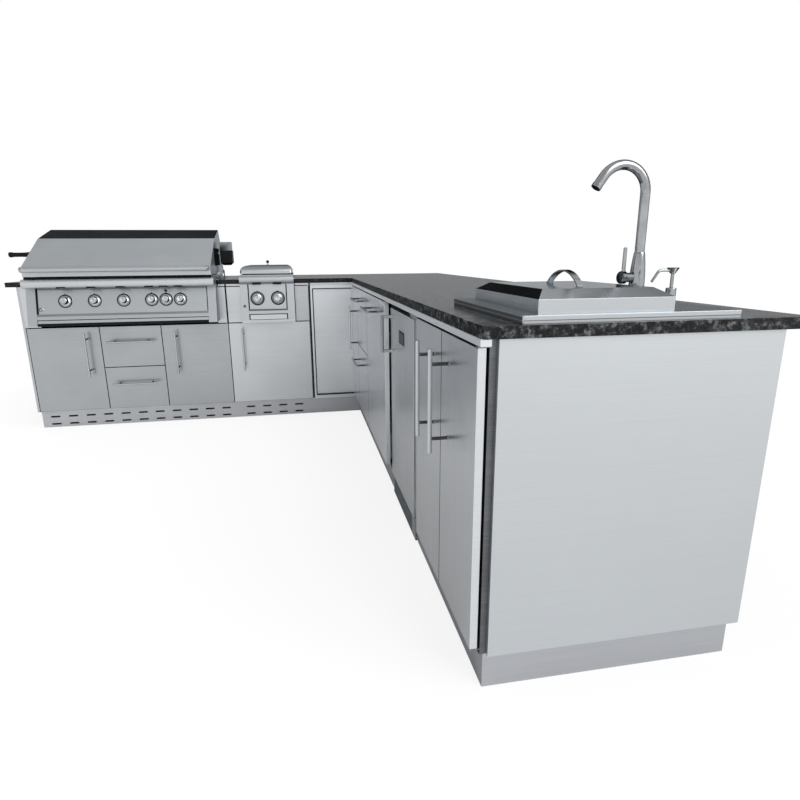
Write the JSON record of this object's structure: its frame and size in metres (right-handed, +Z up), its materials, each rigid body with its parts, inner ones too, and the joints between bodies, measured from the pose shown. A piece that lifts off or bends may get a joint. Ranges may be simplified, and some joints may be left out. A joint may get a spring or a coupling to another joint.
{
  "type": "outdoor kitchen island",
  "caption": "L-shaped outdoor kitchen with a built-in grill, side burner, fridge, covered sink and steel cabinets under a dark stone counter.",
  "frame": {"origin": "middle of the near corner levelling foot's pad, on the floor, below the sink cabinet's front corner", "axes": "+Z up, +Y from the sink end along the long run to the back, +X from the fronts of the long run to its back"},
  "size_m": [2.89, 3.451, 1.2779],
  "materials": {
    "steel": "brushed",
    "board": "matte",
    "plinth": "satin",
    "foot_plastic": "matte",
    "granite": "polished",
    "cast_iron": "seasoned",
    "brass": "machined",
    "black_metal": "satin",
    "glass": "clear",
    "chrome": "polished"
  },
  "bodies": {
    "island": {"burner_set": "steel", "cabinet_hardware": "steel", "carcass_burner": "board", "carcass_corner": "board", "carcass_drawers": "board", "carcass_fridge_bay": "board", "carcass_grill": "board", "carcass_sink": "board", "control_bezels": "chrome", "cooking_grates": "cast_iron", "corner_panel": "steel", "countertop_run_a": "granite", "countertop_run_b": "granite", "end_panels": "steel", "face_frame": "steel", "faucet_body": "chrome", "fridge_cabinet": "steel", "fridge_shelves": "glass", "gas_manifold": "brass", "grill_bullnose": "steel", "grill_fascia": "steel", "grill_firebox": "steel", "levelling_feet": "foot_plastic", "rotisserie_motor": "black_metal", "side_burner_hob": "cast_iron", "side_burner_tray": "steel", "sink_drain": "steel", "sink_unit": "steel", "soap_dispenser": "chrome", "toe_kicks": "plinth"},
    "door_grill_left": {"door_grill_left": "steel"},
    "door_grill_right": {"door_grill_right": "steel"},
    "door_burner": {"door_burner": "steel"},
    "door_corner": {"door_corner": "steel"},
    "door_sink_far": {"door_sink_far": "steel"},
    "door_sink_near": {"door_sink_near": "steel"},
    "drawer_grill_upper": {"drawer_grill_upper": "steel"},
    "drawer_grill_lower": {"drawer_grill_lower": "steel"},
    "drawer_b_upper": {"drawer_b_upper": "steel"},
    "drawer_b_lower": {"drawer_b_lower": "steel"},
    "pullout": {"pullout": "steel"},
    "fridge_door": {"fridge_door": "steel"},
    "grill_lid": {"grill_lid": "steel", "grill_lid_handle": "chrome"},
    "side_burner_lid": {"side_burner_lid": "steel"},
    "grill_knob_1": {"grill_knob_1": "chrome"},
    "grill_knob_2": {"grill_knob_2": "chrome"},
    "grill_knob_3": {"grill_knob_3": "chrome"},
    "grill_knob_4": {"grill_knob_4": "chrome"},
    "grill_knob_5": {"grill_knob_5": "chrome"},
    "grill_knob_6": {"grill_knob_6": "chrome"},
    "side_knob_1": {"side_knob_1": "chrome"},
    "side_knob_2": {"side_knob_2": "chrome"},
    "spit_rod": {"spit_rod": "steel"},
    "drip_tray": {"drip_tray": "steel"},
    "igniter_button": {"igniter_button": "chrome"},
    "sink_cover": {"sink_cover": "steel"},
    "faucet_spout": {"faucet_spout": "chrome"},
    "faucet_lever": {"faucet_lever": "chrome"},
    "soap_pump": {"soap_pump": "chrome"}
  },
  "joints": [
    {"name": "door_grill_left_hinge", "type": "hinge", "parent": "island", "child": "door_grill_left", "pos_m": [-2.066, 2.553, 0.379], "axis": [0, 0, -1], "range_deg": [0, 95]},
    {"name": "door_grill_right_hinge", "type": "hinge", "parent": "island", "child": "door_grill_right", "pos_m": [-0.9005, 2.553, 0.379], "axis": [0, 0, 1], "range_deg": [0, 95]},
    {"name": "door_burner_hinge", "type": "hinge", "parent": "island", "child": "door_burner", "pos_m": [-0.3835, 2.553, 0.379], "axis": [0, 0, -1], "range_deg": [-95, 0]},
    {"name": "door_corner_hinge", "type": "hinge", "parent": "island", "child": "door_corner", "pos_m": [-0.087, 2.516, 0.499], "axis": [0, 0, -1], "range_deg": [0, 75]},
    {"name": "door_sink_far_hinge", "type": "hinge", "parent": "island", "child": "door_sink_far", "pos_m": [-0.087, 0.5255, 0.499], "axis": [0, 0, -1], "range_deg": [0, 95]},
    {"name": "door_sink_near_hinge", "type": "hinge", "parent": "island", "child": "door_sink_near", "pos_m": [-0.087, -0.07, 0.499], "axis": [0, 0, 1], "range_deg": [0, 95]},
    {"name": "drawer_grill_upper_slide", "type": "slide", "parent": "island", "child": "drawer_grill_upper", "axis": [0, -1, 0], "range_m": [0, 0.4]},
    {"name": "drawer_grill_lower_slide", "type": "slide", "parent": "island", "child": "drawer_grill_lower", "axis": [0, -1, 0], "range_m": [0, 0.4]},
    {"name": "drawer_b_upper_slide", "type": "slide", "parent": "island", "child": "drawer_b_upper", "axis": [-1, 0, 0], "range_m": [0, 0.4]},
    {"name": "drawer_b_lower_slide", "type": "slide", "parent": "island", "child": "drawer_b_lower", "axis": [-1, 0, 0], "range_m": [0, 0.4]},
    {"name": "pullout_slide", "type": "slide", "parent": "island", "child": "pullout", "axis": [-1, 0, 0], "range_m": [0, 0.45]},
    {"name": "fridge_door_hinge", "type": "hinge", "parent": "island", "child": "fridge_door", "pos_m": [-0.062, 0.704, 0.471], "axis": [0, 0, 1], "range_deg": [0, 95]},
    {"name": "grill_lid_hinge", "type": "hinge", "parent": "island", "child": "grill_lid", "pos_m": [-1.47, 3.04, 0.952], "axis": [-1, 0, 0], "range_deg": [0, 78]},
    {"name": "side_burner_lid_hinge", "type": "hinge", "parent": "island", "child": "side_burner_lid", "pos_m": [-0.633, 2.99, 0.96], "axis": [-1, 0, 0], "range_deg": [0, 90]},
    {"name": "grill_knob_1_turn", "type": "hinge", "parent": "island", "child": "grill_knob_1", "pos_m": [-1.794, 2.44782, 0.806], "axis": [0, -0.9772, 0.2124], "range_deg": [0, 200]},
    {"name": "grill_knob_2_turn", "type": "hinge", "parent": "island", "child": "grill_knob_2", "pos_m": [-1.633, 2.44782, 0.806], "axis": [0, -0.9772, 0.2124], "range_deg": [0, 200]},
    {"name": "grill_knob_3_turn", "type": "hinge", "parent": "island", "child": "grill_knob_3", "pos_m": [-1.472, 2.44782, 0.806], "axis": [0, -0.9772, 0.2124], "range_deg": [0, 200]},
    {"name": "grill_knob_4_turn", "type": "hinge", "parent": "island", "child": "grill_knob_4", "pos_m": [-1.314, 2.44782, 0.806], "axis": [0, -0.9772, 0.2124], "range_deg": [0, 200]},
    {"name": "grill_knob_5_turn", "type": "hinge", "parent": "island", "child": "grill_knob_5", "pos_m": [-1.232, 2.44782, 0.806], "axis": [0, -0.9772, 0.2124], "range_deg": [0, 200]},
    {"name": "grill_knob_6_turn", "type": "hinge", "parent": "island", "child": "grill_knob_6", "pos_m": [-1.149, 2.44782, 0.806], "axis": [0, -0.9772, 0.2124], "range_deg": [0, 200]},
    {"name": "side_knob_1_turn", "type": "hinge", "parent": "island", "child": "side_knob_1", "pos_m": [-0.696, 2.49318, 0.798], "axis": [0, -0.9989, 0.046], "range_deg": [0, 200]},
    {"name": "side_knob_2_turn", "type": "hinge", "parent": "island", "child": "side_knob_2", "pos_m": [-0.57, 2.49318, 0.798], "axis": [0, -0.9989, 0.046], "range_deg": [0, 200]},
    {"name": "spit_turn", "type": "hinge", "parent": "island", "child": "spit_rod", "pos_m": [-1.47, 2.78, 1.075], "axis": [1, 0, 0], "continuous": true},
    {"name": "drip_tray_slide", "type": "slide", "parent": "island", "child": "drip_tray", "axis": [0, -1, 0], "range_m": [0, 0.3]},
    {"name": "igniter_press", "type": "slide", "parent": "island", "child": "igniter_button", "axis": [0, 0.9772, -0.2124], "range_m": [0, 0.004], "stiffness_N_per_m": 400, "springref_m": -0.002},
    {"name": "sink_cover_lift", "type": "slide", "parent": "island", "child": "sink_cover", "axis": [0, 0, 1], "range_m": [0, 0.12]},
    {"name": "faucet_swivel", "type": "hinge", "parent": "island", "child": "faucet_spout", "pos_m": [0.415, 0.167, 1.0579], "axis": [0, 0, 1], "range_deg": [-60, 60]},
    {"name": "faucet_lever_turn", "type": "hinge", "parent": "island", "child": "faucet_lever", "pos_m": [0.363, 0.167, 0.9949], "axis": [1, 0, 0], "range_deg": [-45, 45]},
    {"name": "soap_press", "type": "slide", "parent": "island", "child": "soap_pump", "axis": [0, 0, -1], "range_m": [0, 0.012], "stiffness_N_per_m": 300, "springref_m": -0.004}
  ]
}
